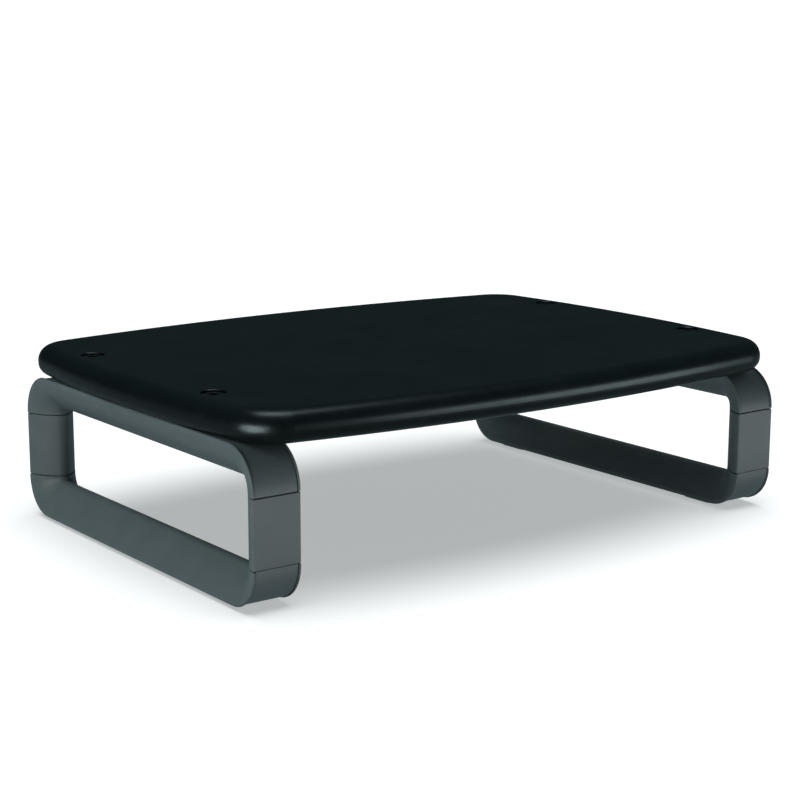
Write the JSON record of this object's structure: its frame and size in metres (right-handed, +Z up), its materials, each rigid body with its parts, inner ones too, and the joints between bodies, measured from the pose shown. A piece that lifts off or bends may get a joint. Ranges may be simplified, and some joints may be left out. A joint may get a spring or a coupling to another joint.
{
  "type": "monitor riser",
  "caption": "Low desk riser for a monitor: bullnosed board on two loop-shaped legs that come apart into an arch, column spacers and a base to change the height.",
  "frame": {"origin": "on the desk, under the middle of the platform, level with the undersides of the feet", "axes": "+X to the right along the platform's long side, +Y to the back, +Z up; the front is -Y"},
  "size_m": [0.41, 0.305, 0.111],
  "materials": {
    "platform_board": "black low-sheen laminate over fibreboard, faintly mottled",
    "leg_plastic": "fine moulded texture, dark grey",
    "cover_plastic": "fine moulded texture, dark grey",
    "screw_steel": "blackened steel, satin",
    "brass": "turned",
    "zinc_steel": "zinc plated",
    "foot_rubber": "matt black"
  },
  "bodies": {
    "left_base": {"left_base_shell": "leg_plastic", "left_base_cover": "cover_plastic", "left_base_cover_screws": "zinc_steel", "left_front_foot": "foot_rubber", "left_rear_foot": "foot_rubber"},
    "left_front_spacer": {"left_front_spacer": "leg_plastic"},
    "left_rear_spacer": {"left_rear_spacer": "leg_plastic"},
    "platform": {"platform": "platform_board", "platform_screws": "screw_steel", "threaded_inserts": "brass", "left_arch_shell": "leg_plastic", "left_arch_cover": "cover_plastic", "left_arch_cover_screws": "zinc_steel", "right_arch_shell": "leg_plastic", "right_arch_cover": "cover_plastic", "right_arch_cover_screws": "zinc_steel"},
    "right_front_spacer": {"right_front_spacer": "leg_plastic"},
    "right_rear_spacer": {"right_rear_spacer": "leg_plastic"},
    "right_base": {"right_base_shell": "leg_plastic", "right_base_cover": "cover_plastic", "right_base_cover_screws": "zinc_steel", "right_front_foot": "foot_rubber", "right_rear_foot": "foot_rubber"}
  },
  "joints": [
    {"name": "spacer_lift", "type": "slide", "parent": "left_base", "child": "left_front_spacer", "axis": [0, 0, 1], "range_m": [0, 0.035]},
    {"name": "left_rear_spacer_lift", "type": "slide", "parent": "left_base", "child": "left_rear_spacer", "axis": [0, 0, 1], "range_m": [0, 0.035]},
    {"name": "platform_lift", "type": "slide", "parent": "left_front_spacer", "child": "platform", "axis": [0, 0, 1], "range_m": [0, 0.035]},
    {"name": "right_front_spacer_drop", "type": "slide", "parent": "platform", "child": "right_front_spacer", "axis": [0, 0, -1], "range_m": [0, 0.035]},
    {"name": "right_rear_spacer_drop", "type": "slide", "parent": "platform", "child": "right_rear_spacer", "axis": [0, 0, -1], "range_m": [0, 0.035]},
    {"name": "right_base_drop", "type": "slide", "parent": "right_front_spacer", "child": "right_base", "axis": [0, 0, -1], "range_m": [0, 0.035]}
  ],
  "couplings": [
    {"joint": "left_rear_spacer_lift", "follows": "spacer_lift", "ratio": 1},
    {"joint": "right_base_drop", "follows": "spacer_lift", "ratio": 1},
    {"joint": "right_front_spacer_drop", "follows": "platform_lift", "ratio": 1},
    {"joint": "right_rear_spacer_drop", "follows": "platform_lift", "ratio": 1}
  ]
}
